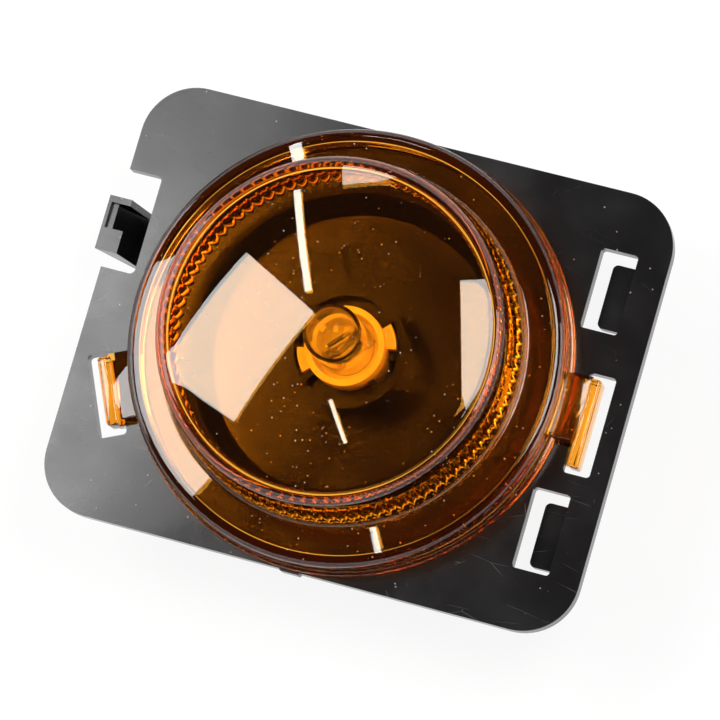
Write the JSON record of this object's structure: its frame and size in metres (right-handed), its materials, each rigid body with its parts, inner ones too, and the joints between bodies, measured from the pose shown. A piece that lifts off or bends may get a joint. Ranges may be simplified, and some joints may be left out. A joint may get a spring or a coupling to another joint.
{
  "type": "side repeater lamp",
  "caption": "Stepped round amber side repeater lamp on a clip-in carrier plate, with a fluted lens drum, a wedge bulb and a twist-lock bulb holder.",
  "frame": {"origin": "on the lens axis, in the plane of the plate's rear face, which lies on the body panel", "axes": "+Z out of the lens along its axis, +X towards the two hooks, +Y across the plate"},
  "size_m": [0.1034, 0.0808, 0.0572],
  "materials": {
    "housing_plastic": "satin moulded black, lightly scratched",
    "lens_plastic": "polished clear amber",
    "seal_rubber": "matt",
    "holder_nylon": "natural moulded nylon",
    "contact_brass": "stamped sheet",
    "bulb_glass": "clear",
    "lead_wire": "drawn wire",
    "filament_wire": "wound wire"
  },
  "bodies": {
    "lamp_body": {"housing": "housing_plastic", "lens": "lens_plastic", "lens_seal": "seal_rubber"},
    "bulb_unit": {"bulb_holder": "holder_nylon", "holder_seal": "seal_rubber", "contact_front": "contact_brass", "contact_rear": "contact_brass", "bulb_glass": "bulb_glass", "lead_front": "lead_wire", "lead_rear": "lead_wire", "filament": "filament_wire"}
  },
  "joints": [
    {"name": "holder_twist", "type": "hinge", "parent": "lamp_body", "child": "bulb_unit", "pos_m": [0, 0, 0], "axis": [0, 0, 1], "range_deg": [-45, 0]}
  ]
}
